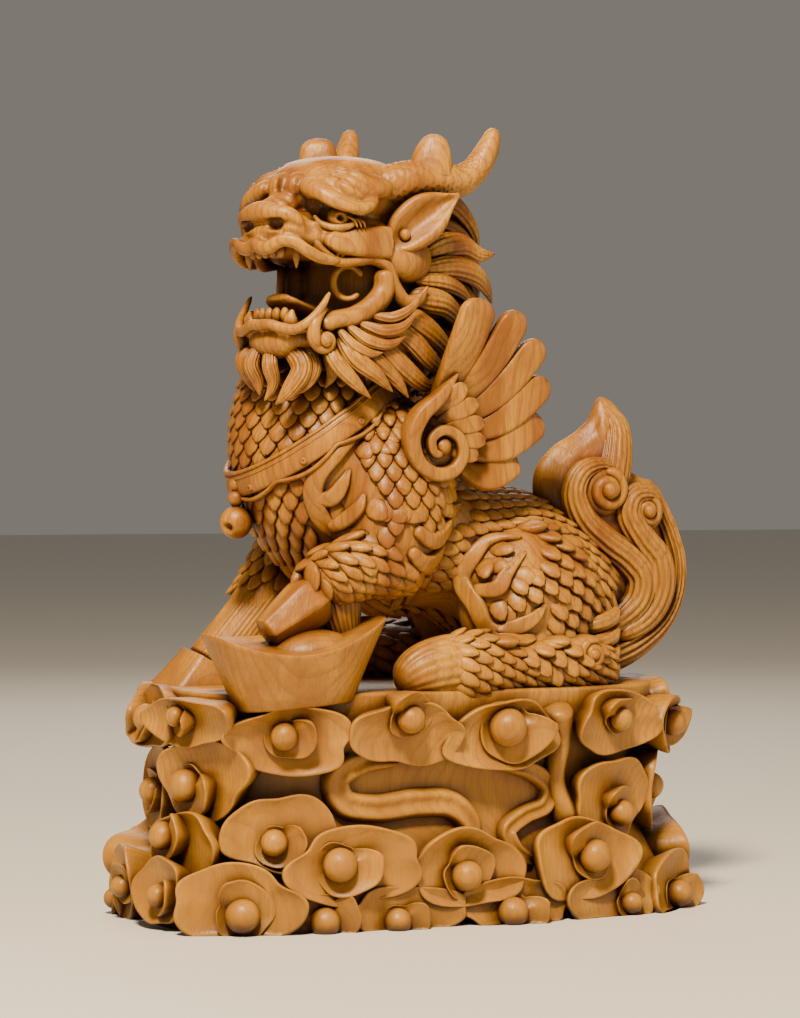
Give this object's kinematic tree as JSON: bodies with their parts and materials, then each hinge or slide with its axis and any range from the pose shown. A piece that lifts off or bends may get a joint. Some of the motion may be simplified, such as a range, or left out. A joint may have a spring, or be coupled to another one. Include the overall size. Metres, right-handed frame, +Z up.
{
  "type": "carved wooden qilin figure",
  "caption": "Boxwood carving of a scaled, winged and antlered qilin seated on ruyi clouds, mouth open, with one fore hoof on a boat-shaped ingot.",
  "frame": {"origin": "middle of the flat underside of the cloud base", "axes": "+Z up, the beast faces -X, its left flank faces -Y"},
  "size_m": [0.1249, 0.0667, 0.1616],
  "materials": {
    "boxwood": "honey-coloured boxwood, hand polished to a satin sheen, fine growth rings, darker in the cuts"
  },
  "bodies": {
    "root": {"qilin_carving": "boxwood"}
  },
  "joints": []
}
